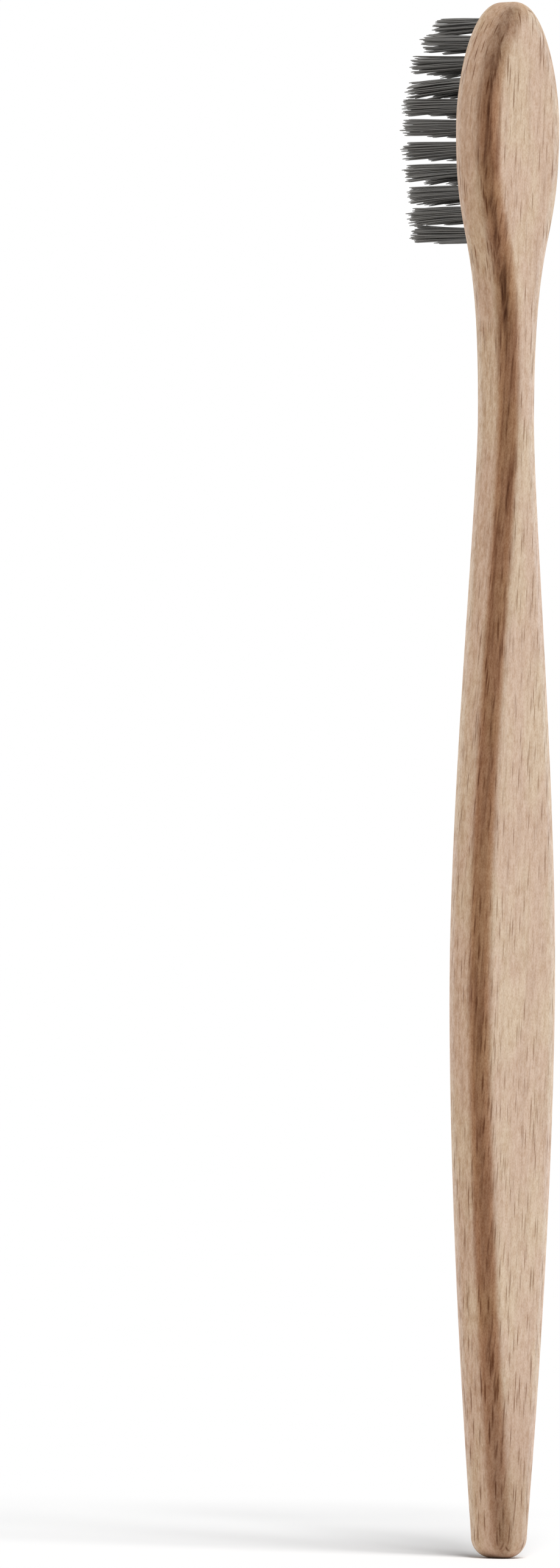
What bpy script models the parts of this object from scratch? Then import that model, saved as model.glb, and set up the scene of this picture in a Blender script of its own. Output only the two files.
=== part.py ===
"""An adult toothbrush: a flat wooden handle with a rounded head, and rows of bristle tufts set in it.

+Z runs up the handle to the tip of the head, the bristles point to -Y and the flat back faces +Y.
The origin is the middle of the flat foot. Each tuft is folded over a flat metal anchor that bites
into the wood near the bottom of its hole.
"""
import math
import random

import bmesh
import bpy
from mathutils import Matrix, Vector
from mathutils.geometry import interpolate_bezier

MM = 0.001

# Handle
LENGTH = 190.0 * MM
THICKNESS = 7.0 * MM
EDGE_RADIUS = 2.5 * MM
TIP_RADIUS = 2.55 * MM
HEAD_WIDTH = 13.6 * MM
HEAD_WIDEST_BELOW_TIP = 15.5 * MM
NECK_WIDTH = 5.65 * MM
NECK_BELOW_TIP = 50.6 * MM
GRIP_WIDTH = 14.0 * MM
GRIP_WIDEST_ABOVE_FOOT = 70.6 * MM
FOOT_FLAT_WIDTH = 0.4 * MM
FOOT_CORNER_WIDTH = 2.6 * MM
FOOT_CORNER_HEIGHT = 2.5 * MM

# How far each curve of the outline holds its end directions, as shares of its own run
HEAD_SHARES = (0.48, 0.436)
NECK_SHARES = (0.69, 0.155)
GRIP_SHARES = (0.35, 0.448)
TAPER_SHARE = 0.03
TAPER_SLOPE = 0.05
QUARTER_ARC_SHARE = 4 / 3 * math.tan(math.pi / 8)

# Tuft field
ROWS = 11
FIRST_ROW_BELOW_TIP = 2.7 * MM
ROW_PITCH = 2.64 * MM
TUFT_TO_EDGE = 3.25 * MM
MIDDLE_TUFT_REACH = 2.05 * MM
TUFT_DIAMETER = 1.7 * MM
HOLE_DEPTH = 4.2 * MM

# Filaments, which are fused at the root of their tuft
BRISTLE_LENGTH = 10.35 * MM
TOE_SHORTER = (1.4 * MM, 0.8 * MM, 0.3 * MM)
TRIM_UNEVENNESS = 0.35 * MM
TUFT_LEAN = 0.2 * MM
STRAND_WIDTH = 0.24 * MM
STRAND_TIP_WIDTH = 0.18 * MM
STRANDS_IN_RING = (1, 5, 8)
RING_SHARES = (0, 0.4, 0.76)
TIP_SPREAD_SHARE = 1.1
ROOT_BELOW_FACE = 0.25 * MM
STRAND_IN_ROOT = 0.3 * MM

# Anchors
ANCHOR_THICKNESS = 0.2 * MM
ANCHOR_HEIGHT = 1.4 * MM
ANCHOR_BITE = 0.15 * MM
ANCHOR_ABOVE_HOLE_BOTTOM = 0.6 * MM
ANCHOR_SLANT = math.radians(25)

# Clearances and cuts
CLEARANCE = 0.05 * MM
EDGE_ROOM_SHARE = 0.99
OVERRUN = 1.0 * MM
WELD = 0.001 * MM

# Fineness
RUN_STEPS = (14, 12, 12, 12, 8)
EDGE_STEPS = 5
HOLE_SIDES = 10
STRAND_SIDES = 4
MARCH_SHARE = 0.01

FACE_Y = -THICKNESS / 2
UPRIGHT = Matrix.Rotation(math.pi / 2, 4, "X")
HOLE_RADIUS = TUFT_DIAMETER / 2
ROOT_RADIUS = HOLE_RADIUS - CLEARANCE
SLANTED = Matrix.Rotation(ANCHOR_SLANT, 4, "Z")
FACET_TURN = Matrix.Rotation(math.pi / HOLE_SIDES, 4, "Z")


def clear_scene():
    for old in list(bpy.data.objects):
        bpy.data.objects.remove(old, do_unlink=True)


def new_collection(name):
    collection = bpy.data.collections.new(name)
    bpy.context.scene.collection.children.link(collection)
    return collection


def new_material(name, color, roughness, metallic):
    material = bpy.data.materials.new(name)
    material.use_nodes = True
    shader = material.node_tree.nodes["Principled BSDF"]
    shader.inputs["Base Color"].default_value = (*color, 1)
    shader.inputs["Roughness"].default_value = roughness
    shader.inputs["Metallic"].default_value = metallic
    material.diffuse_color = (*color, 1)
    return material


def new_mesh(name, bm, material=None):
    mesh = bpy.data.meshes.new(name)
    bm.to_mesh(mesh)
    bm.free()
    if material:
        mesh.materials.append(material)
    return mesh


def new_object(name, mesh, collection, parent=None):
    thing = bpy.data.objects.new(name, mesh)
    thing.parent = parent
    collection.objects.link(thing)
    return thing


def new_cutter(name, bm, collection):
    """A closed mesh that only shapes other pieces."""
    cutter = new_object(name, new_mesh(name, bm), collection)
    cutter.display_type = "WIRE"
    cutter.hide_render = True
    return cutter


def add_boolean(thing, operation, cutter):
    modifier = thing.modifiers.new(cutter.name, "BOOLEAN")
    modifier.operation = operation
    modifier.solver = "EXACT"
    modifier.object = cutter


def add_box(bm, size, place):
    """A box of the given size with its middle at place."""
    bmesh.ops.create_cube(bm, size=1, matrix=place @ Matrix.Diagonal((*size, 1)))


def add_pin(bm, sides, radii, bottom, top, place):
    """A pin from bottom to top on place's Z axis, with its radius at each end."""
    middle = Matrix.Translation((0, 0, (bottom + top) / 2))
    bmesh.ops.create_cone(bm, cap_ends=True, segments=sides, radius1=radii[0], radius2=radii[1],
                          depth=top - bottom, matrix=place @ middle)


def half_outline():
    """Points of the outline's +X half from the tip down: half the width, and the height above the foot.

    Each knot is a point, the direction in which the outline passes it, and how far its curves
    hold that direction on the way in and on the way out.
    """
    head = Vector((HEAD_WIDTH / 2, LENGTH - HEAD_WIDEST_BELOW_TIP))
    neck = Vector((NECK_WIDTH / 2, LENGTH - NECK_BELOW_TIP))
    grip = Vector((GRIP_WIDTH / 2, GRIP_WIDEST_ABOVE_FOOT))
    flat = Vector((FOOT_FLAT_WIDTH / 2, 0))
    corner = flat + Vector((FOOT_CORNER_WIDTH, FOOT_CORNER_HEIGHT))
    head_run = HEAD_WIDEST_BELOW_TIP
    neck_run = head.y - neck.y
    grip_run = neck.y - grip.y
    taper_run = grip.y - corner.y
    tip_hold = math.sqrt(2 / 3 * TIP_RADIUS * head_run * (1 - HEAD_SHARES[0]))
    down = Vector((0, -1))
    taper = Vector((-TAPER_SLOPE, -1)).normalized()
    knots = (
        (Vector((0, LENGTH)), Vector((1, 0)), 0, tip_hold),
        (head, down, head_run * HEAD_SHARES[0], neck_run * HEAD_SHARES[1]),
        (neck, down, neck_run * NECK_SHARES[0], grip_run * NECK_SHARES[1]),
        (grip, down, grip_run * GRIP_SHARES[0], taper_run * GRIP_SHARES[1]),
        (corner, taper, taper_run * TAPER_SHARE, FOOT_CORNER_HEIGHT * QUARTER_ARC_SHARE),
        (flat, Vector((-1, 0)), FOOT_CORNER_WIDTH * QUARTER_ARC_SHARE, 0),
    )
    points = [knots[0][0]]
    for start, end, steps in zip(knots, knots[1:], RUN_STEPS):
        run = interpolate_bezier(start[0], start[0] + start[1] * start[3],
                                 end[0] - end[1] * end[2], end[0], steps + 1)
        points.extend(run[1:])
    return points


def half_width(points, height):
    """Half the handle's width at a height above the foot."""
    for upper, lower in zip(points, points[1:]):
        if lower.y <= height <= upper.y:
            share = (upper.y - height) / (upper.y - lower.y)
            return upper.x + (lower.x - upper.x) * share
    return 0


def tuft_rows(points):
    """Each row's height above the foot, and its outer tufts' reach from the middle, from the tip down.

    The outer tufts keep a steady distance to the edge of the head, and a steady pitch on that line.
    """
    height = LENGTH - FIRST_ROW_BELOW_TIP
    rows = [(height, 0)]
    while len(rows) < ROWS:
        height -= ROW_PITCH * MARCH_SHARE
        reach = half_width(points, height) - TUFT_TO_EDGE
        if math.hypot(height - rows[-1][0], reach - rows[-1][1]) >= ROW_PITCH:
            rows.append((height, reach))
    return rows


def tuft_places(points):
    """Each tuft's row, column, and place on the front face."""
    places = []
    for row, (height, reach) in enumerate(tuft_rows(points)):
        across = [0]
        if reach > 0:
            across = [-reach, reach]
        if reach > MIDDLE_TUFT_REACH:
            across = [-reach, 0, reach]
        for column, x in enumerate(across):
            places.append((row, column, Matrix.Translation((x, FACE_Y, height)) @ UPRIGHT))
    return places


def room_for_edge(loop):
    """The largest edge rounding: no side of the closed outline shrinks to nothing as it moves inward,
    and the neck and the thickness keep a flat between their two roundings."""
    sides = [end - start for start, end in zip(loop, loop[1:] + loop[:1])]
    bends = [math.tan(before.angle_signed(side) / 2) for before, side in zip(sides[-1:] + sides, sides)]
    shrinks = [bend + after for bend, after in zip(bends, bends[1:] + bends[:1])]
    bent = min(side.length / shrink for side, shrink in zip(sides, shrinks) if shrink > 0)
    return EDGE_ROOM_SHARE * min(bent, NECK_WIDTH / 2, THICKNESS / 2)


def make_handle(points, material, parts, parent):
    """The flat outline, given its thickness and rounded edges."""
    loop = points + [Vector((-point.x, point.y)) for point in reversed(points[1:])]
    edge = min(EDGE_RADIUS, room_for_edge(loop))
    curve = bpy.data.curves.new("handle_outline", "CURVE")
    curve.dimensions = "2D"
    curve.fill_mode = "BOTH"
    curve.extrude = THICKNESS / 2 - edge
    curve.bevel_depth = edge
    curve.offset = -edge
    curve.bevel_resolution = EDGE_STEPS
    curve.render_resolution_u = 0
    spline = curve.splines.new("POLY")
    spline.points.add(len(loop) - 1)
    for knot, point in zip(spline.points, loop):
        knot.co = (point.x, point.y, 0, 1)
    spline.use_cyclic_u = True
    plate = bpy.data.objects.new("handle_outline", curve)
    plate.matrix_world = UPRIGHT
    parts.objects.link(plate)
    bpy.context.view_layer.update()

    evaluated = plate.evaluated_get(bpy.context.evaluated_depsgraph_get())
    mesh = bpy.data.meshes.new_from_object(evaluated)
    mesh.name = "handle"
    bm = bmesh.new()
    bm.from_mesh(mesh)
    bmesh.ops.remove_doubles(bm, verts=bm.verts, dist=WELD)
    bmesh.ops.dissolve_limit(bm, angle_limit=math.radians(0.01), verts=bm.verts, edges=bm.edges)
    bm.to_mesh(mesh)
    bm.free()
    mesh.materials.clear()
    mesh.materials.append(material)
    mesh.shade_smooth()
    mesh.set_sharp_from_angle(angle=math.radians(40))
    handle = new_object("handle", mesh, parts, parent)
    handle.matrix_world = plate.matrix_world
    bpy.data.objects.remove(plate, do_unlink=True)
    return handle


def make_holes(places, cutters):
    """The round tuft holes, and the slits that the anchors cut on their way down."""
    holes = bmesh.new()
    slits = bmesh.new()
    anchor_bottom = ANCHOR_ABOVE_HOLE_BOTTOM - HOLE_DEPTH - CLEARANCE
    slit = (TUFT_DIAMETER + 2 * (ANCHOR_BITE + CLEARANCE), ANCHOR_THICKNESS + 2 * CLEARANCE,
            OVERRUN - anchor_bottom)
    middle = Matrix.Translation((0, 0, (anchor_bottom + OVERRUN) / 2))
    for row, column, place in places:
        turned = place @ SLANTED
        add_pin(holes, HOLE_SIDES, (HOLE_RADIUS, HOLE_RADIUS), -HOLE_DEPTH, OVERRUN, turned @ FACET_TURN)
        add_box(slits, slit, turned @ middle)
    return new_cutter("tuft_holes", holes, cutters), new_cutter("anchor_slits", slits, cutters)


def anchor_middle(place):
    """The middle of the anchor that lies across the fold of the tuft at this place."""
    height = ANCHOR_ABOVE_HOLE_BOTTOM - HOLE_DEPTH + ANCHOR_HEIGHT / 2
    return place @ SLANTED @ Matrix.Translation((0, 0, height))


def make_folds(places, cutters):
    """The gap in each tuft's root where its filaments pass on both sides of the anchor and under it."""
    folds = bmesh.new()
    fold = (TUFT_DIAMETER, ANCHOR_THICKNESS + 2 * CLEARANCE, ANCHOR_HEIGHT + 2 * CLEARANCE)
    for row, column, place in places:
        add_box(folds, fold, anchor_middle(place))
    return new_cutter("anchor_folds", folds, cutters)


def strand_place(root, tip):
    """The frame of a strand, with Z from its root to its tip."""
    turn = Vector((0, 0, 1)).rotation_difference(tip - root)
    return Matrix.Translation(root) @ turn.to_matrix().to_4x4()


def make_strands(name, length, place, chance, cutters):
    """The filaments of one tuft, almost parallel, so that none meets another."""
    bm = bmesh.new()
    lean = Vector((chance.uniform(-TUFT_LEAN, TUFT_LEAN), chance.uniform(-TUFT_LEAN, TUFT_LEAN), 0))
    corner = math.sqrt(2) / 2
    for count, ring_share in zip(STRANDS_IN_RING, RING_SHARES):
        for number in range(count):
            angle = 2 * math.pi * number / count
            spoke = Vector((math.cos(angle), math.sin(angle), 0)) * ROOT_RADIUS * ring_share
            root = spoke + Vector((0, 0, -ROOT_BELOW_FACE - STRAND_IN_ROOT))
            trim = chance.uniform(-TRIM_UNEVENNESS, TRIM_UNEVENNESS)
            tip = spoke * TIP_SPREAD_SHARE + lean + Vector((0, 0, length + trim))
            square_out = Matrix.Rotation(angle + math.pi / STRAND_SIDES, 4, "Z")
            add_pin(bm, STRAND_SIDES, (STRAND_WIDTH * corner, STRAND_TIP_WIDTH * corner),
                    0, (tip - root).length, place @ strand_place(root, tip) @ square_out)
    return new_cutter(name, bm, cutters)


def make_tuft(row, column, place, folds, chance, material, parts, cutters, parent):
    """A round root that fills its hole, open across for the anchor, with its filaments standing on it."""
    label = f"{row + 1:02d}_{column + 1}"
    shorter = TOE_SHORTER[row] if row < len(TOE_SHORTER) else 0
    bm = bmesh.new()
    add_pin(bm, HOLE_SIDES, (ROOT_RADIUS, ROOT_RADIUS), CLEARANCE - HOLE_DEPTH, -ROOT_BELOW_FACE,
            SLANTED @ FACET_TURN)
    tuft = new_object(f"tuft_{label}", new_mesh(f"tuft_{label}", bm, material), parts, parent)
    tuft.matrix_world = place
    strands = make_strands(f"strands_{label}", BRISTLE_LENGTH - shorter, place, chance, cutters)
    add_boolean(tuft, "DIFFERENCE", folds)
    add_boolean(tuft, "UNION", strands)


def make_anchor_mesh(material):
    bm = bmesh.new()
    add_box(bm, (TUFT_DIAMETER + 2 * ANCHOR_BITE, ANCHOR_THICKNESS, ANCHOR_HEIGHT), Matrix.Identity(4))
    return new_mesh("anchor", bm, material)


def make_toothbrush():
    clear_scene()
    parts = new_collection("toothbrush")
    cutters = new_collection("cutters")
    wood = new_material("light_wood", (0.62, 0.42, 0.27), 0.6, 0)
    filament = new_material("charcoal_filament", (0.07, 0.07, 0.065), 0.55, 0)
    metal = new_material("anchor_metal", (0.75, 0.6, 0.33), 0.35, 1)
    origin = new_object("toothbrush_origin", None, parts)

    points = half_outline()
    places = tuft_places(points)
    handle = make_handle(points, wood, parts, origin)
    holes, slits = make_holes(places, cutters)
    add_boolean(handle, "DIFFERENCE", holes)
    add_boolean(handle, "DIFFERENCE", slits)

    folds = make_folds(places, cutters)
    chance = random.Random(11)
    anchor_mesh = make_anchor_mesh(metal)
    for row, column, place in places:
        make_tuft(row, column, place, folds, chance, filament, parts, cutters, origin)
        anchor = new_object(f"anchor_{row + 1:02d}_{column + 1}", anchor_mesh, parts, origin)
        anchor.matrix_world = anchor_middle(place)


make_toothbrush()
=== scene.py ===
"""The looks of a wooden toothbrush that stands upright on a pale floor.

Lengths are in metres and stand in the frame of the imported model: +Z up the handle to the tip of the
head, bristles to -Y, flat back to +Y, and the origin in the middle of the foot.
"""
import math
import random
from types import SimpleNamespace

import bmesh
import bpy
from mathutils import Matrix, Vector
from mathutils.geometry import interpolate_bezier


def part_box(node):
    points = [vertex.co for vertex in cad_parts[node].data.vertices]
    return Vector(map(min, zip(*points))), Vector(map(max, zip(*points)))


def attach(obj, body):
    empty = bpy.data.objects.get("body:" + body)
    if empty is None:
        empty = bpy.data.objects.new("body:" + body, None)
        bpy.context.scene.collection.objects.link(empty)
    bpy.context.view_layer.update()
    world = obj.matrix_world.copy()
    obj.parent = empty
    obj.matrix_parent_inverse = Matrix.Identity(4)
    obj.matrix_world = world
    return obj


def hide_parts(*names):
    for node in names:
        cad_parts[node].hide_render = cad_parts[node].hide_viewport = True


MM = 0.001
SEED = 7


# Small helpers

def toward(azimuth, elevation):
    """The direction from the object at an azimuth and elevation: 0 is the bristles' side, 90 is +X."""
    flat = math.cos(elevation)
    return Vector((math.sin(azimuth) * flat, -math.cos(azimuth) * flat, math.sin(elevation)))


def link(thing):
    """Puts an object into the scene."""
    bpy.context.scene.collection.objects.link(thing)
    return thing


def add_object(name, bm, material):
    """An object from a bmesh, which it uses up."""
    mesh = bpy.data.meshes.new(name)
    bm.to_mesh(mesh)
    bm.free()
    if material:
        mesh.materials.append(material)
    return link(bpy.data.objects.new(name, mesh))


def group(name, things):
    """A collection that only tells the lamps what they light."""
    collection = bpy.data.collections.new(name)
    for thing in things:
        collection.objects.link(thing)
    return collection


# Nodes: the places of the mix node's two colours among its inputs, and of the mixed one among its outputs
MIX_INPUTS = (6, 7)
MIX_OUTPUT = 2


class Tree:
    """A node tree that is filled from nothing; its textures can be turned to lie along a grain."""

    def __init__(self, tree, turn=(0, 0, 0)):
        self.tree = tree
        self.turn = turn
        tree.nodes.clear()

    def add(self, kind, **values):
        """A node with values on some of its inputs, where an underscore stands for a space."""
        node = self.tree.nodes.new("ShaderNode" + kind)
        for key, value in values.items():
            node.inputs[key.replace("_", " ")].default_value = value
        return node

    def join(self, start, end):
        """A link from an output to an input."""
        self.tree.links.new(start, end)

    def math(self, operation, *values, clamp=False):
        """One operation on sockets or numbers."""
        node = self.tree.nodes.new("ShaderNodeMath")
        node.operation = operation
        node.use_clamp = clamp
        for socket, value in zip(node.inputs, values):
            if isinstance(value, (int, float)):
                socket.default_value = value
            else:
                self.join(value, socket)
        return node.outputs[0]

    def times(self, first, *others):
        """The product of some sockets or numbers."""
        for other in others:
            first = self.math("MULTIPLY", first, other)
        return first

    def most(self, first, *others):
        """The largest of some sockets."""
        for other in others:
            first = self.math("MAXIMUM", first, other)
        return first

    def range(self, value, low, high, to_low=0.0, to_high=1.0, smooth=False):
        """A value mapped from one span to another, and held at the ends."""
        node = self.tree.nodes.new("ShaderNodeMapRange")
        node.interpolation_type = "SMOOTHSTEP" if smooth else "LINEAR"
        self.join(value, node.inputs["Value"])
        for name, number in zip(("From Min", "From Max", "To Min", "To Max"), (low, high, to_low, to_high)):
            node.inputs[name].default_value = number
        return node.outputs["Result"]

    def between(self, mask, off, on):
        """A number that goes from one value to the other as a mask goes from 0 to 1."""
        return self.range(mask, 0, 1, off, on)

    def mix(self, share, first, second, blend="MIX"):
        """Mixes two colours; each is a tuple or a socket."""
        node = self.tree.nodes.new("ShaderNodeMix")
        node.data_type = "RGBA"
        node.blend_type = blend
        self.join(share, node.inputs["Factor"])
        for place, value in zip(MIX_INPUTS, (first, second)):
            if isinstance(value, tuple):
                node.inputs[place].default_value = (*value, 1)
            else:
                self.join(value, node.inputs[place])
        return node.outputs[MIX_OUTPUT]

    def shade(self, share, colour, tint):
        """A colour, multiplied by a tint as far as the share goes."""
        return self.mix(share, colour, tint, blend="MULTIPLY")

    def parts(self, source):
        """X, Y and Z of the object coordinates or of the normal."""
        where = self.add("TexCoord")
        apart = self.add("SeparateXYZ")
        self.join(where.outputs[source], apart.inputs[0])
        return [apart.outputs[axis] for axis in "XYZ"]

    def stretched(self, per_metre):
        """Object coordinates, turned to lie along the grain, times a scale on each axis."""
        where = self.add("TexCoord")
        turned = self.add("Mapping", Rotation=self.turn)
        scaled = self.add("Mapping", Scale=per_metre)
        self.join(where.outputs["Object"], turned.inputs["Vector"])
        self.join(turned.outputs["Vector"], scaled.inputs["Vector"])
        return scaled.outputs["Vector"]

    def noise(self, per_metre, detail, roughness=0.5):
        """Noise, from its waves in a metre of each axis, its detail and its roughness."""
        node = self.add("TexNoise", Scale=1.0, Detail=detail, Roughness=roughness)
        self.join(self.stretched(per_metre), node.inputs["Vector"])
        return node.outputs["Fac"]

    def cells(self, per_metre):
        """Distance to the nearest scattered point, and that point's own random number."""
        node = self.add("TexVoronoi", Scale=1.0)
        self.join(self.stretched(per_metre), node.inputs["Vector"])
        apart = self.add("SeparateColor")
        self.join(node.outputs["Color"], apart.inputs[0])
        return node.outputs["Distance"], apart.outputs[0]

    def bump(self, height, strength, distance):
        """A normal from a height."""
        node = self.add("Bump", Strength=strength, Distance=distance)
        self.join(height, node.inputs["Height"])
        return node.outputs["Normal"]


def seen_rays(tree):
    """1 for the rays that show the background: straight to the camera, mirrored or let through."""
    path = tree.add("LightPath")
    return tree.most(*(path.outputs[f"Is {kind} Ray"] for kind in ("Camera", "Glossy", "Transmission")))


def new_material(name, turn=(0, 0, 0)):
    """A material with one main shader, and its tree."""
    material = bpy.data.materials.new(name)
    material.use_nodes = True
    tree = Tree(material.node_tree, turn)
    shader = tree.add("BsdfPrincipled")
    output = tree.add("OutputMaterial")
    tree.join(shader.outputs[0], output.inputs["Surface"])
    return material, tree, shader


# Camera

# Photograph: its width and height in pixels, its pixels in a millimetre of the brush, where the brush's
# middle line and foot stand in it, and how far the brush leans
PICTURE_SIZE = (920, 2576)
PIXELS_PER_MM = 13.455
MIDDLE_LINE_X = 827.3
FOOT_Y = 2557.4
PICTURE_TILT = math.radians(0.36)
# Camera: its direction and distance from the brush, how far it sees, and its sensor in a lens's millimetres
CAMERA_AZIMUTH = math.radians(137)
CAMERA_DISTANCE = 2.0
FARTHEST_SEEN = 100
SENSOR = 36.0


def add_camera():
    """A long lens, level with the middle of the picture, with the brush right of its middle."""
    back = toward(CAMERA_AZIMUTH, 0)
    right = Vector((0, 0, 1)).cross(back)
    picture_mm = PICTURE_SIZE[1] / PIXELS_PER_MM
    aside = (MIDDLE_LINE_X - PICTURE_SIZE[0] / 2) / PIXELS_PER_MM * MM
    level = (FOOT_Y - PICTURE_SIZE[1] / 2) / PIXELS_PER_MM * MM
    data = bpy.data.cameras.new("camera")
    data.sensor_width = SENSOR
    data.lens = SENSOR * CAMERA_DISTANCE / (picture_mm * MM)
    data.clip_end = FARTHEST_SEEN
    camera = link(bpy.data.objects.new("camera", data))
    camera.location = back * CAMERA_DISTANCE - right * aside + Vector((0, 0, level))
    facing = (-back).to_track_quat("-Z", "Y").to_matrix().to_4x4()
    turn = facing @ Matrix.Rotation(PICTURE_TILT, 4, "Z")
    camera.rotation_euler = turn.to_euler()
    bpy.context.scene.camera = camera


# Light

# Each lamp: degrees from the camera to the right, elevation, width as an angle, strength, what it lights
LAMPS = {
    "softbox_right": (91, 10, 36, 2.6, "brush"),
    "softbox_left": (-104, 10, 36, 1.85, "brush"),
    "lamp_top": (180, 68, 40, 1.3, "brush"),
    "floor_lamp_front": (8, 55, 12, 1.356, "floor"),
    "floor_lamp_middle": (24, 53, 16, 1.093, "floor"),
    "floor_lamp_side": (42, 48, 22, 1.121, "floor"),
}
# World: its strength as a light, its strength as the white behind the brush, and its colour in both
AMBIENT = 0.36
BACKGROUND = 1.0
WHITE = (1, 1, 1, 1)


def add_lamps(groups):
    """Soft lamps, each of which lights either the brush or the floor."""
    for name, (aside, elevation, width, strength, lit) in LAMPS.items():
        data = bpy.data.lights.new(name, "SUN")
        data.energy = strength
        data.angle = math.radians(width)
        lamp = link(bpy.data.objects.new(name, data))
        direction = toward(CAMERA_AZIMUTH + math.radians(aside), math.radians(elevation))
        lamp.rotation_euler = direction.to_track_quat("Z", "Y").to_euler()
        lamp.light_linking.receiver_collection = groups[lit]


def add_world():
    """A soft even light, with white behind the object."""
    world = bpy.data.worlds.new("studio")
    bpy.context.scene.world = world
    world.use_nodes = True
    tree = Tree(world.node_tree)
    output = tree.add("OutputWorld")
    light = tree.add("Background", Color=WHITE, Strength=AMBIENT)
    white = tree.add("Background", Color=WHITE, Strength=BACKGROUND)
    both = tree.add("MixShader")
    tree.join(seen_rays(tree), both.inputs[0])
    tree.join(light.outputs[0], both.inputs[1])
    tree.join(white.outputs[0], both.inputs[2])
    tree.join(both.outputs[0], output.inputs["Surface"])


# Floor: its white, the share of that in its mottle's darkest spots, what it throws back, and its width
FLOOR_WHITE = 0.80
FLOOR_MOTTLE = 0.99
FLOOR_BOUNCE = 0.517
FLOOR_SIZE = 24.0
MOTTLE_NOISE = ((40, 40, 40), 3)


def grey(level):
    """A colour without any hue."""
    return (level,) * 3


def floor_material():
    """White paper, which throws less light back onto the object than it shows."""
    material = bpy.data.materials.new("floor_paper")
    material.use_nodes = True
    tree = Tree(material.node_tree)
    output = tree.add("OutputMaterial")
    paper = tree.add("BsdfDiffuse")
    pale = tree.mix(tree.noise(*MOTTLE_NOISE), grey(FLOOR_WHITE), grey(FLOOR_WHITE * FLOOR_MOTTLE))
    tree.join(tree.mix(seen_rays(tree), grey(FLOOR_BOUNCE), pale), paper.inputs["Color"])
    tree.join(paper.outputs[0], output.inputs["Surface"])
    return material


def add_floor():
    """The floor, which is stage and no part of the brush."""
    bm = bmesh.new()
    bmesh.ops.create_grid(bm, x_segments=1, y_segments=1, size=FLOOR_SIZE / 2)
    floor = add_object("floor", bm, floor_material())
    return floor


# Materials: the span of a noise over which most looks change
NOISE_SPAN = (0.3, 0.7)

# Wood: its two tones, its gloss, and the turn of its grain
WOOD_YELLOW = (0.735, 0.582, 0.433)
WOOD_PINK = (0.71, 0.535, 0.414)
WOOD_SPECULAR = 0.12
WOOD_ROUGHNESS = (0.50, 0.64)
WOOD_BUMP = (0.25, 0.04 * MM)
FIBRE_HEIGHT = 0.5
GRAIN_LEAN = (math.radians(2.6), math.radians(2.8), 0)
# Its noises, as Tree.noise takes them, and the span of each over which its marks grow
WOOD_NOISES = {
    "tone": ((240, 240, 85), 2),
    "streak": ((1500, 1500, 75), 2, 0.55),
    "fibre": ((2100, 2100, 700), 3, 0.7),
    "pepper": ((7000, 7000, 3600), 2, 0.6),
}
TONE_SPAN = (0.38, 0.62)
STREAK_SPAN = (0.48, 0.66)
CORE_SPAN = (0.30, 0.56)
FIBRE_SPAN = (0.40, 0.70)
# The share of the tone that its marks keep
STREAK_SHADE = (0.50, 0.40, 0.34)
FIBRE_SHADE = (0.70, 0.585, 0.48)
FLECK_SHADE = (0.38, 0.26, 0.18)
# Streaks: how strongly they show off and on the two edges with painted shade, and the share of that which is
# left at the foot
STREAK_SHARES = (0.18, 0.75)
STREAK_SHARE_AT_FOOT = 0.3
# Fine marks: how strongly they show, and how many times that where the wood turns away from its flat faces
FIBRE_SHARE = 0.55
PEPPER_SHARE = 0.45
FINE_MARKS_OFF_FLATS = 1.5
# Flecks: how strongly they show elsewhere and on the two edges with painted shade, the head and the foot,
# the share of that on the flat faces, and how much likelier they are at the foot and on those two edges
FLECK_SHARES = (0.74, 0.95)
FLECK_SHARE_ON_FLATS = 0.9
MORE_FLECKS_AT_FOOT = 0.18
MORE_FLECKS_ON_EDGE = 0.15
# Flecks as the flat faces and the sides cut them: how many stand in a metre of each axis, their core and
# outer radius as shares of that, and the random numbers over which they grow from nothing to full
FLECKS = {
    "flat": (((2700, 540, 190), (0.08, 0.37), (0.10, 0.55)),
             ((1700, 340, 120), (0.08, 0.28), (0.45, 0.75))),
    "side": (((540, 2700, 190), (0.08, 0.37), (0.10, 0.55)),
             ((340, 1700, 120), (0.08, 0.28), (0.45, 0.75))),
}
# Tints of whole places
# Painted warm light: the sides warmer and a little darker than the flat faces
SIDE_PAINTED_WARM_LIGHT = (1.0, 0.935, 0.875)
# Painted shade: two opposite edges, which face between the side lamps, darker and redder
PAINTED_EDGE_SHADE = (0.80, 0.605, 0.47)
# Painted shade with a streak in it: darker still in the middle of those edges on the head
CORE_STREAK_AND_PAINTED_SHADE = (0.60, 0.54, 0.51)
# Painted sheen: the other two edges paler and greyer
PAINTED_RIM_SHEEN = (0.985, 1.065, 1.17)
HEAD_SHADE = (0.91, 0.89, 0.86)
# The foot browner towards its end, and darker still on its downward-facing corner, which is painted contact
# shade
FOOT_TINT_AND_CONTACT_SHADE = (0.775, 0.70, 0.665)
EDGE_SHARE_AT_FOOT = 0.55
EDGE_SHARE_AT_TIP = 0.35
FOOT_SHARE_ON_SIDES = 0.3
# Heights over which they come in
HEAD_HEIGHTS = (138 * MM, 160 * MM)
CORE_HEIGHTS = (140 * MM, 156 * MM)
TIP_HEIGHTS = (188 * MM, 176 * MM)
FOOT_FLECK_HEIGHTS = (60 * MM, 8 * MM)
FOOT_SHADE_HEIGHTS = (28 * MM, 0)
# Facings over which they come in: products and squares of the normal's parts
CRISP_EDGE = (0.20, 0.85)
SOFT_EDGE = (0.05, 1.0)
CORE_FACINGS = (0.84, 0.99)
SHEEN_RIM_FACINGS = (0, -0.4)
FLAT_FLECK_FACINGS = (0.95, 0.75)
SIDE_FLECK_FACINGS = (0.30, 0.65)
END_FACINGS = (0.45, 0.85)
END_FLECK_SHARE = 0.15
# How far the middle of the painted shade on two edges is turned from 45 degrees, on the handle and on the
# head
EDGE_TURNS = (math.radians(5), math.radians(-5))


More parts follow.
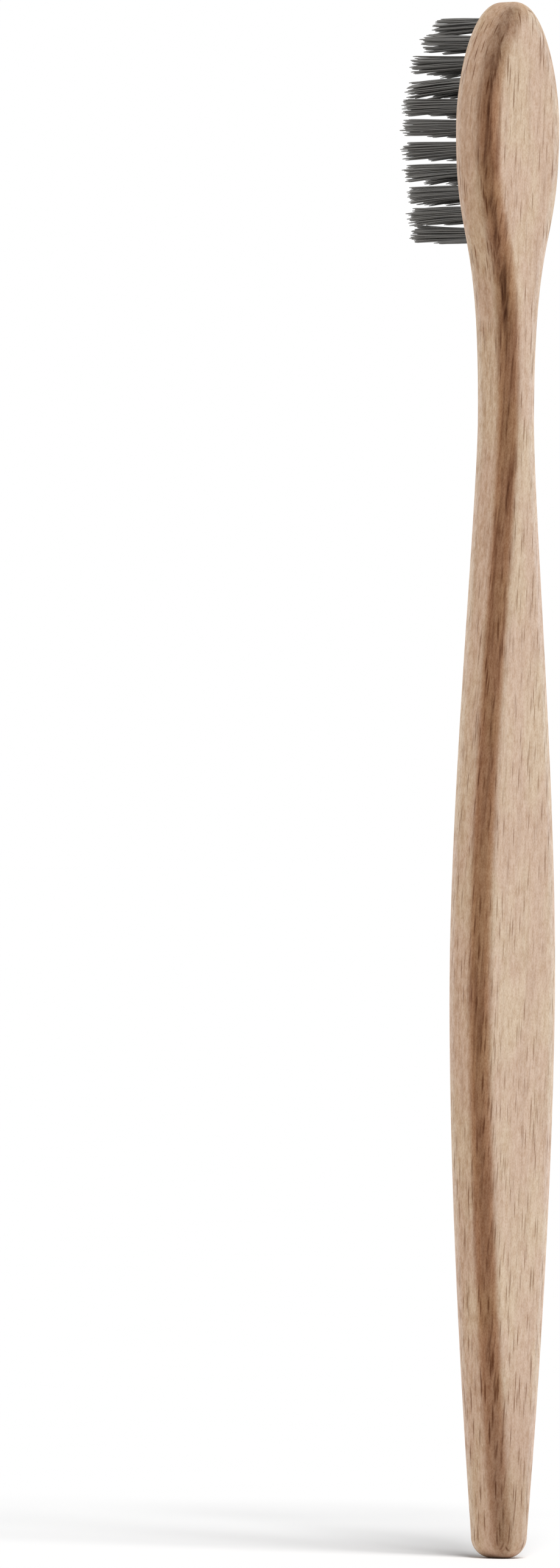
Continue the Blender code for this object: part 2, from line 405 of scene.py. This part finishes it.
def wood_masks(tree):
    """Numbers from 0 to 1 that tell the places of the wood apart.

    side: off the two flat faces; edge: on the two edges that painted shade darkens; core: in
    the middle of those, on the head; sheen_rim: on the other two edges, which a painted sheen makes paler;
    upright: facing neither up nor down; head, below_tip, near_foot and at_foot: by height.
    """
    across, flat, up = tree.parts("Normal")
    height = tree.parts("Object")[2]
    head = tree.range(height, *HEAD_HEIGHTS, smooth=True)
    flat_square = tree.times(flat, flat)
    product = tree.times(flat, across, 2.0)
    squares = tree.math("SUBTRACT", tree.times(across, across), flat_square)
    turn = tree.between(head, *(math.sin(2 * angle) for angle in EDGE_TURNS))
    diagonal = tree.math("ADD", product, tree.times(squares, turn))
    soft = tree.times(tree.range(diagonal, *SOFT_EDGE, smooth=True), head)
    crisp = tree.times(tree.range(diagonal, *CRISP_EDGE, smooth=True), tree.math("SUBTRACT", 1.0, head))
    core = tree.range(product, *CORE_FACINGS, smooth=True)
    return SimpleNamespace(
        side=tree.math("SQRT", tree.math("SUBTRACT", 1.0, flat_square, clamp=True)),
        edge=tree.math("ADD", soft, crisp),
        core=tree.times(core, tree.range(height, *CORE_HEIGHTS, smooth=True)),
        sheen_rim=tree.range(product, *SHEEN_RIM_FACINGS),
        upright=tree.range(tree.math("ABSOLUTE", up), *END_FACINGS, 1, END_FLECK_SHARE, smooth=True),
        head=head,
        below_tip=tree.range(height, *TIP_HEIGHTS, EDGE_SHARE_AT_TIP, 1, smooth=True),
        near_foot=tree.range(height, *FOOT_FLECK_HEIGHTS, smooth=True),
        at_foot=tree.range(height, *FOOT_SHADE_HEIGHTS, smooth=True),
    )


def fleck_marks(tree, cut, more):
    """Scattered spindles along the grain, each with its own strength, and more of them where asked."""
    layers = []
    for per_metre, (core, outer), (faint, full) in FLECKS[cut]:
        distance, number = tree.cells(per_metre)
        inside = tree.range(distance, outer, core, smooth=True)
        chance = tree.math("ADD", number, more)
        layers.append(tree.times(inside, tree.range(chance, faint, full)))
    return tree.most(*layers)


def wood_flecks(tree, masks):
    """All flecks of the wood, as its flat faces and its sides cut them."""
    more = tree.math("ADD", tree.times(masks.near_foot, MORE_FLECKS_AT_FOOT),
                     tree.times(masks.edge, MORE_FLECKS_ON_EDGE))
    flat = tree.range(masks.side, *FLAT_FLECK_FACINGS, 0, FLECK_SHARE_ON_FLATS)
    side = tree.range(masks.side, *SIDE_FLECK_FACINGS)
    flecks = tree.most(tree.times(fleck_marks(tree, "flat", more), flat),
                       tree.times(fleck_marks(tree, "side", more), side))
    strong = tree.most(masks.near_foot, masks.edge, masks.head)
    return tree.times(flecks, tree.between(strong, *FLECK_SHARES), masks.upright)


def grain_colour(tree, noises, masks, flecks):
    """The two tones of the wood with its streaks, its fine marks and its flecks."""
    wood = tree.mix(tree.range(noises["tone"], *TONE_SPAN, smooth=True), WOOD_PINK, WOOD_YELLOW)
    share = tree.times(tree.range(noises["streak"], *STREAK_SPAN), tree.between(masks.edge, *STREAK_SHARES),
                       tree.between(masks.near_foot, 1, STREAK_SHARE_AT_FOOT))
    wood = tree.shade(share, wood, STREAK_SHADE)
    share = tree.times(tree.range(noises["fibre"], *FIBRE_SPAN, 0, FIBRE_SHARE),
                       tree.between(masks.side, 1, FINE_MARKS_OFF_FLATS))
    wood = tree.shade(share, wood, FIBRE_SHADE)
    share = tree.times(tree.range(noises["pepper"], *FIBRE_SPAN, 0, PEPPER_SHARE),
                       tree.between(masks.edge, 1, FINE_MARKS_OFF_FLATS))
    wood = tree.shade(share, wood, FIBRE_SHADE)
    return tree.shade(flecks, wood, FLECK_SHADE)


def shade_places(tree, wood, noises, masks):
    """The wood's colour: warmer on its sides as painted warm light, with painted shade on two edges and a
    painted sheen on the other two, browner at its foot with painted contact shade on its downward corner,
    and tinted on the head's sides.
    """
    wood = tree.shade(masks.side, wood, SIDE_PAINTED_WARM_LIGHT)
    wood = tree.shade(masks.sheen_rim, wood, PAINTED_RIM_SHEEN)
    share = tree.times(masks.edge, tree.between(masks.at_foot, 1, EDGE_SHARE_AT_FOOT), masks.below_tip)
    wood = tree.shade(share, wood, PAINTED_EDGE_SHADE)
    share = tree.times(masks.core, masks.below_tip, tree.range(noises["streak"], *CORE_SPAN))
    wood = tree.shade(share, wood, CORE_STREAK_AND_PAINTED_SHADE)
    share = tree.most(tree.between(masks.side, 1, FOOT_SHARE_ON_SIDES),
                      tree.range(masks.upright, 1, END_FLECK_SHARE))
    wood = tree.shade(tree.times(masks.at_foot, share), wood, FOOT_TINT_AND_CONTACT_SHADE)
    return tree.shade(tree.times(masks.head, masks.side), wood, HEAD_SHADE)


def light_wood():
    """Fine straight-grained wood with short dark flecks along the grain; painted shade darkens two of its
    edges and a painted sheen pales the other two.
    """
    material, tree, shader = new_material("light_wood", GRAIN_LEAN)
    noises = {name: tree.noise(*numbers) for name, numbers in WOOD_NOISES.items()}
    masks = wood_masks(tree)
    flecks = wood_flecks(tree, masks)
    wood = grain_colour(tree, noises, masks, flecks)
    wood = shade_places(tree, wood, noises, masks)
    tree.join(wood, shader.inputs["Base Color"])
    tree.join(tree.range(noises["fibre"], *NOISE_SPAN, *WOOD_ROUGHNESS), shader.inputs["Roughness"])
    shader.inputs["Specular IOR Level"].default_value = WOOD_SPECULAR
    height = tree.math("SUBTRACT", tree.times(noises["fibre"], FIBRE_HEIGHT), flecks)
    tree.join(tree.bump(height, *WOOD_BUMP), shader.inputs["Normal"])
    return material


# Filament: its two greys, the noise from filament to filament and along them and their shares in the grey,
# then the grey of worn tips, how much of it shows, and over which Y it comes in
FILAMENT_DARK = (0.036, 0.034, 0.030)
FILAMENT_PALE = (0.128, 0.119, 0.106)
BETWEEN_NOISE = ((5200, 150, 5200), 2)
ALONG_NOISE = ((900, 700, 900), 2)
GREY_SHARES = (0.8, 0.2)
WORN_GREY = (0.20, 0.185, 0.165)
WORN_SHARE = 0.5
WORN_DEPTHS = (-7.0 * MM, -15.0 * MM)
FILAMENT_ROUGHNESS = (0.42, 0.58)
FILAMENT_BUMP = (0.15, 0.02 * MM)


def charcoal_filament():
    """Dark grey nylon, worn paler to the tips; the grey changes from filament to filament."""
    material, tree, shader = new_material("charcoal_filament")
    between = tree.noise(*BETWEEN_NOISE)
    along = tree.noise(*ALONG_NOISE)
    share = tree.math("ADD", tree.range(between, *NOISE_SPAN, 0, GREY_SHARES[0]),
                      tree.range(along, *NOISE_SPAN, 0, GREY_SHARES[1]))
    nylon = tree.mix(share, FILAMENT_DARK, FILAMENT_PALE)
    worn = tree.range(tree.parts("Object")[1], *WORN_DEPTHS, 0, WORN_SHARE, smooth=True)
    tree.join(tree.mix(worn, nylon, WORN_GREY), shader.inputs["Base Color"])
    tree.join(tree.range(along, *NOISE_SPAN, *FILAMENT_ROUGHNESS), shader.inputs["Roughness"])
    tree.join(tree.bump(between, *FILAMENT_BUMP), shader.inputs["Normal"])
    return material


# Anchor strip: its two tones, and the noises of its bloom and of its lines
STRIP_PALE = (0.80, 0.64, 0.36)
STRIP_DEEP = (0.62, 0.46, 0.22)
BLOOM_NOISE = ((1800, 1800, 1800), 3)
BLOOM_SPAN = (0.35, 0.7)
LINE_NOISE = ((900, 12000, 12000), 2)
STRIP_ROUGHNESS = (0.25, 0.42)
STRIP_BUMP = (0.2, 0.01 * MM)


def anchor_metal():
    """Rolled yellow metal strip with fine lines along it and a dull bloom in places."""
    material, tree, shader = new_material("anchor_metal")
    bloom = tree.range(tree.noise(*BLOOM_NOISE), *BLOOM_SPAN)
    lines = tree.noise(*LINE_NOISE)
    tree.join(tree.mix(bloom, STRIP_PALE, STRIP_DEEP), shader.inputs["Base Color"])
    tree.join(tree.range(lines, *NOISE_SPAN, *STRIP_ROUGHNESS), shader.inputs["Roughness"])
    tree.join(tree.bump(lines, *STRIP_BUMP), shader.inputs["Normal"])
    shader.inputs["Metallic"].default_value = 1.0
    return material


# Handle

EDGE_RADIUS = 2.5 * MM
EDGE_STEPS = 10
# Outline: its points
TIP_RADIUS = 2.55 * MM
HEAD_WIDTH = 13.6 * MM
HEAD_WIDEST_BELOW_TIP = 15.5 * MM
NECK_WIDTH = 5.65 * MM
NECK_BELOW_TIP = 50.6 * MM
GRIP_WIDEST_ABOVE_FOOT = 70.6 * MM
FOOT_FLAT_WIDTH = 0.4 * MM
FOOT_CORNER_WIDTH = 2.6 * MM
FOOT_CORNER_HEIGHT = 2.5 * MM
TAPER_SLOPE = 0.05
# Outline: the shares of the runs above and below a point that its curves' arms reach over
HEAD_SHARES = (0.48, 0.436)
NECK_SHARES = (0.69, 0.155)
GRIP_SHARES = (0.35, 0.448)
TAPER_SHARE = 0.03
QUARTER_ARC_SHARE = 4 / 3 * math.tan(math.pi / 8)
RUN_STEPS = (44, 40, 36, 40, 14)
# Distances and angles under which points and faces are taken as one, and the angle that stays sharp
WELD = 0.001 * MM
WELD_AFTER_CUTS = 0.003 * MM
FLAT_ANGLE = math.radians(0.01)
HANDLE_SHARP_ANGLE = math.radians(35)

# Tuft holes and the slits beside them: length, width and depth of a slit, and how far a cutter stands out
HOLE_DIAMETER = 1.7 * MM
HOLE_DEPTH = 4.2 * MM
HOLE_SIDES = 24
SLIT = (2.1 * MM, 0.3 * MM, 3.65 * MM)
ANCHOR_SLANT = math.radians(25)
OVERRUN = 0.5 * MM

UPRIGHT = Matrix.Rotation(math.pi / 2, 4, "X")
SLANTED = Matrix.Rotation(ANCHOR_SLANT, 4, "Z")


def half_outline(length, grip_width):
    """Points of the outline's +X half from the tip down, as half the width and the height."""
    head = Vector((HEAD_WIDTH / 2, length - HEAD_WIDEST_BELOW_TIP))
    neck = Vector((NECK_WIDTH / 2, length - NECK_BELOW_TIP))
    grip = Vector((grip_width / 2, GRIP_WIDEST_ABOVE_FOOT))
    flat = Vector((FOOT_FLAT_WIDTH / 2, 0))
    corner = flat + Vector((FOOT_CORNER_WIDTH, FOOT_CORNER_HEIGHT))
    head_run = HEAD_WIDEST_BELOW_TIP
    neck_run = head.y - neck.y
    grip_run = neck.y - grip.y
    taper_run = grip.y - corner.y
    # An arm of this length gives the tip its radius
    tip_arm = math.sqrt(2 / 3 * TIP_RADIUS * head_run * (1 - HEAD_SHARES[0]))
    down = Vector((0, -1))
    taper = Vector((-TAPER_SLOPE, -1)).normalized()
    # Each knot: its point, the way the outline runs there, and its arms' lengths before and after it
    knots = (
        (Vector((0, length)), Vector((1, 0)), 0, tip_arm),
        (head, down, head_run * HEAD_SHARES[0], neck_run * HEAD_SHARES[1]),
        (neck, down, neck_run * NECK_SHARES[0], grip_run * NECK_SHARES[1]),
        (grip, down, grip_run * GRIP_SHARES[0], taper_run * GRIP_SHARES[1]),
        (corner, taper, taper_run * TAPER_SHARE, FOOT_CORNER_HEIGHT * QUARTER_ARC_SHARE),
        (flat, Vector((-1, 0)), FOOT_CORNER_WIDTH * QUARTER_ARC_SHARE, 0),
    )
    points = [knots[0][0]]
    for (start, leaving, _, arm), (end, arriving, other_arm, _), steps in zip(knots, knots[1:], RUN_STEPS):
        run = interpolate_bezier(start, start + leaving * arm, end - arriving * other_arm, end, steps + 1)
        points.extend(run[1:])
    return points


def evaluated_mesh(thing):
    """A new mesh of an object as its modifiers or its curve settings make it."""
    evaluated = thing.evaluated_get(bpy.context.evaluated_depsgraph_get())
    return bpy.data.meshes.new_from_object(evaluated)


def apply_modifiers(thing):
    """Makes the object's modifiers a part of its mesh."""
    mesh = evaluated_mesh(thing)
    thing.modifiers.clear()
    thing.data = mesh


def plate_mesh(points, thickness):
    """The outline as a plate with rounded edges, welded, in its own upright place."""
    loop = points + [Vector((-point.x, point.y)) for point in reversed(points[1:])]
    curve = bpy.data.curves.new("outline", "CURVE")
    curve.dimensions = "2D"
    curve.fill_mode = "BOTH"
    curve.extrude = thickness / 2 - EDGE_RADIUS
    curve.bevel_depth = EDGE_RADIUS
    curve.offset = -EDGE_RADIUS
    curve.bevel_resolution = EDGE_STEPS
    spline = curve.splines.new("POLY")
    spline.points.add(len(loop) - 1)
    for knot, point in zip(spline.points, loop):
        knot.co = (point.x, point.y, 0, 1)
    spline.use_cyclic_u = True
    plate = link(bpy.data.objects.new("outline", curve))
    bpy.context.view_layer.update()
    bm = bmesh.new()
    bm.from_mesh(evaluated_mesh(plate))
    bpy.data.objects.remove(plate, do_unlink=True)
    bmesh.ops.remove_doubles(bm, verts=bm.verts, dist=WELD)
    bmesh.ops.dissolve_limit(bm, angle_limit=FLAT_ANGLE, verts=bm.verts, edges=bm.edges)
    bm.transform(UPRIGHT)
    return bm


def hole_cutters(places):
    """Two objects that cut all holes and all slits into the head."""
    holes = bmesh.new()
    slits = bmesh.new()
    slit_size = Matrix.Diagonal((SLIT[0], SLIT[1], SLIT[2] + OVERRUN, 1))
    for place in places.values():
        turned = place @ SLANTED
        middle = Matrix.Translation((0, 0, (OVERRUN - HOLE_DEPTH) / 2))
        bmesh.ops.create_cone(holes, cap_ends=True, segments=HOLE_SIDES, radius1=HOLE_DIAMETER / 2,
                              radius2=HOLE_DIAMETER / 2, depth=HOLE_DEPTH + OVERRUN, matrix=turned @ middle)
        middle = Matrix.Translation((0, 0, (OVERRUN - SLIT[2]) / 2))
        bmesh.ops.create_cube(slits, size=1, matrix=turned @ middle @ slit_size)
    return [add_object("holes", holes, None), add_object("slits", slits, None)]


def cut(thing, cutters):
    """Takes the cutters out of an object, and removes them."""
    for cutter in cutters:
        modifier = thing.modifiers.new(cutter.name, "BOOLEAN")
        modifier.operation = "DIFFERENCE"
        modifier.solver = "EXACT"
        modifier.object = cutter
    apply_modifiers(thing)
    for cutter in cutters:
        bpy.data.objects.remove(cutter, do_unlink=True)


def weld_points(thing):
    """Merges the points that lie almost on one another, and drops what then has no area."""
    bm = bmesh.new()
    bm.from_mesh(thing.data)
    bmesh.ops.remove_doubles(bm, verts=bm.verts, dist=WELD_AFTER_CUTS)
    bmesh.ops.dissolve_degenerate(bm, edges=bm.edges, dist=WELD)
    bm.to_mesh(thing.data)
    bm.free()


def smooth(thing, sharp_angle):
    """Smooth shading, except over sharp edges."""
    thing.data.shade_smooth()
    thing.data.set_sharp_from_angle(angle=sharp_angle)


def add_handle(places, material):
    """The handle with its rounded edges, its tuft holes and their slits."""
    low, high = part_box("handle")
    points = half_outline(high.z, high.x - low.x)
    handle = add_object("wood_handle", plate_mesh(points, high.y - low.y), material)
    cut(handle, hole_cutters(places))
    weld_points(handle)
    smooth(handle, HANDLE_SHARP_ANGLE)
    weights = handle.modifiers.new("weights", "WEIGHTED_NORMAL")
    weights.keep_sharp = True
    apply_modifiers(handle)
    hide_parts("handle")
    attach(handle, "root")
    return handle


# Tufts

# Filaments: each is folded under the anchor, so it has two legs and two tips
FILAMENT_WIDTH = 0.165 * MM
FILAMENT_SIDES = 6
TIP_WIDTH_SHARE = 0.55
TUFT_SHARP_ANGLE = math.radians(70)
# Where the legs stand: along the anchor in millimetres, beside it, beside it once the tuft has closed up,
# and how far out at most
LEG_COLUMNS = (-0.72, -0.54, -0.36, -0.18, 0, 0.18, 0.36, 0.54, 0.72)
LEG_PITCH = 0.175 * MM
FIRST_LEG = 0.19 * MM
CLOSED_LEG = 0.09 * MM
BUNDLE_RADIUS = 0.77 * MM
# Depths in the hole: where the fold starts, how far its first layer drops, and where the tuft closes up
FOLD_TOP = 3.55 * MM
FOLD_DROP = 0.13 * MM
FOLD_STEPS = 6
NARROW_DEPTH = 2.0 * MM
# Above the face: length, how much shorter the first rows are, and how unevenly the tips are cut
BRISTLE_LENGTH = 10.35 * MM
TOE_SHORTER = (1.4 * MM, 0.8 * MM, 0.3 * MM)
TRIM = 0.34 * MM
# How far each row droops in millimetres, a filament strays and bows, a tuft sways, and its tips spread
DROOPS = (0, 0.1, 0.2, 0.55, 0.05, 0.05, 0.1, 0.25, 0.2, 0.2, 0.1)
STRAY = 0.17 * MM
BOW_SHARE = 0.5
SWAY = 0.28 * MM
SPREAD = 1.37
BEND_POWER = 1.5
LEG_SHARES = (0.0, 0.25, 0.5, 0.75, 0.95, 1.0)


def tuft_places(nodes):
    """Each tuft's place on the face, over the middle of its anchor."""
    face_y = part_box("handle")[0].y
    places = {}
    for name in sorted(nodes):
        if name.startswith("anchor_"):
            low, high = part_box(name)
            middle = (low + high) / 2
            places[name.removeprefix("anchor_")] = Matrix.Translation((middle.x, face_y, middle.z)) @ UPRIGHT
    return places


def leg_places():
    """Where the filaments' legs stand on one side of the anchor: along it, beside it, and their layer."""
    legs = []
    for along in LEG_COLUMNS:
        u = along * MM
        layer = 0
        while math.hypot(u, FIRST_LEG + layer * LEG_PITCH) <= BUNDLE_RADIUS:
            legs.append((u, FIRST_LEG + layer * LEG_PITCH, layer))
            layer += 1
    return legs


def scatter(chance, reach):
    """A random step along and across the face."""
    return Vector((chance.uniform(-reach, reach), chance.uniform(-reach, reach), 0))


def filament_path(u, v, layer, length, sway, chance):
    """A folded filament: from one tip down its leg, under the anchor, and up to the other tip.

    Above the anchor the two halves of the tuft close up.
    """
    out_share = (v - FIRST_LEG) / (BUNDLE_RADIUS - FIRST_LEG)
    closed = CLOSED_LEG + (BUNDLE_RADIUS - CLOSED_LEG) * out_share
    legs = []
    for side in (1, -1):
        trim = length + chance.uniform(-TRIM, TRIM)
        stray = scatter(chance, STRAY)
        bow = scatter(chance, STRAY) * BOW_SHARE
        foot = Vector((u, closed * side, 0))
        leg = [Vector((u, v * side, -FOLD_TOP)), Vector((u, v * side, -NARROW_DEPTH))]
        for share in LEG_SHARES:
            curve = foot * (1 + (SPREAD - 1) * share) + (sway + stray) * share ** BEND_POWER
            curve = curve + bow * math.sin(math.pi * share)
            leg.append(Vector((curve.x, curve.y, trim * share)))
        legs.append(leg)
    fold = []
    drop = FOLD_DROP + layer * LEG_PITCH
    for step in range(1, FOLD_STEPS):
        angle = math.pi * step / FOLD_STEPS
        fold.append(Vector((u, v * math.cos(angle), -FOLD_TOP - drop * math.sin(angle))))
    return legs[0][::-1] + fold + legs[1]


def add_filament(bm, path):
    """A thread along a path, with narrower tips."""
    rings = []
    last = len(path) - 1
    side = Vector((1, 0, 0))
    for number, point in enumerate(path):
        ahead = (path[min(number + 1, last)] - path[max(number - 1, 0)]).normalized()
        side = (side - ahead * side.dot(ahead)).normalized()
        other = ahead.cross(side)
        radius = FILAMENT_WIDTH / 2 * (TIP_WIDTH_SHARE if number in (0, last) else 1)
        ring = []
        for corner in range(FILAMENT_SIDES):
            angle = 2 * math.pi * corner / FILAMENT_SIDES
            offset = (side * math.cos(angle) + other * math.sin(angle)) * radius
            ring.append(bm.verts.new(point + offset))
        rings.append(ring)
    for ring, after in zip(rings, rings[1:]):
        for corner in range(FILAMENT_SIDES):
            following = (corner + 1) % FILAMENT_SIDES
            bm.faces.new((ring[corner], ring[following], after[following], after[corner]))
    bm.faces.new(rings[0][::-1])
    bm.faces.new(rings[-1])


def add_tuft(label, place, legs, material, chance):
    """One tuft; the rows droop unevenly."""
    row = int(label[:2]) - 1
    length = BRISTLE_LENGTH - (TOE_SHORTER[row] if row < len(TOE_SHORTER) else 0)
    sway = Vector((chance.uniform(-SWAY, SWAY), chance.uniform(-SWAY, SWAY) - DROOPS[row] * MM, 0))
    sway.rotate(SLANTED.inverted())
    bm = bmesh.new()
    for u, v, layer in legs:
        add_filament(bm, filament_path(u, v, layer, length, sway, chance))
    bm.transform(place @ SLANTED)
    bristles = add_object(f"bristles_{label}", bm, material)
    smooth(bristles, TUFT_SHARP_ANGLE)
    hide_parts(f"tuft_{label}")
    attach(bristles, "root")
    return bristles


def add_tufts(places, nodes):
    """All tufts, and their packed anchors in metal."""
    filament = charcoal_filament()
    metal = anchor_metal()
    legs = leg_places()
    chance = random.Random(SEED)
    things = []
    for label, place in places.items():
        things.append(add_tuft(label, place, legs, filament, chance))
        anchor = nodes[f"anchor_{label}"]
        anchor.data.materials.clear()
        anchor.data.materials.append(metal)
        things.append(anchor)
    return things


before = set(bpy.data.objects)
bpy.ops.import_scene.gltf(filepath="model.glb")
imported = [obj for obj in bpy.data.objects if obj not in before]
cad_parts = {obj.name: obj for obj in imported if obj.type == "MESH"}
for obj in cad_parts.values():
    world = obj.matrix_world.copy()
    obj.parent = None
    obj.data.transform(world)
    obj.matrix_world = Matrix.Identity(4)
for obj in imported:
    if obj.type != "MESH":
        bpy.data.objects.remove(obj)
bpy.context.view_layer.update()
bpy.context.scene.view_settings.view_transform = "Standard"

places = tuft_places(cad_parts)
brush = [add_handle(places, light_wood())]
brush.extend(add_tufts(places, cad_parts))
floor = add_floor()
add_camera()
add_world()
add_lamps({"brush": group("brush", brush), "floor": group("stage", [floor])})
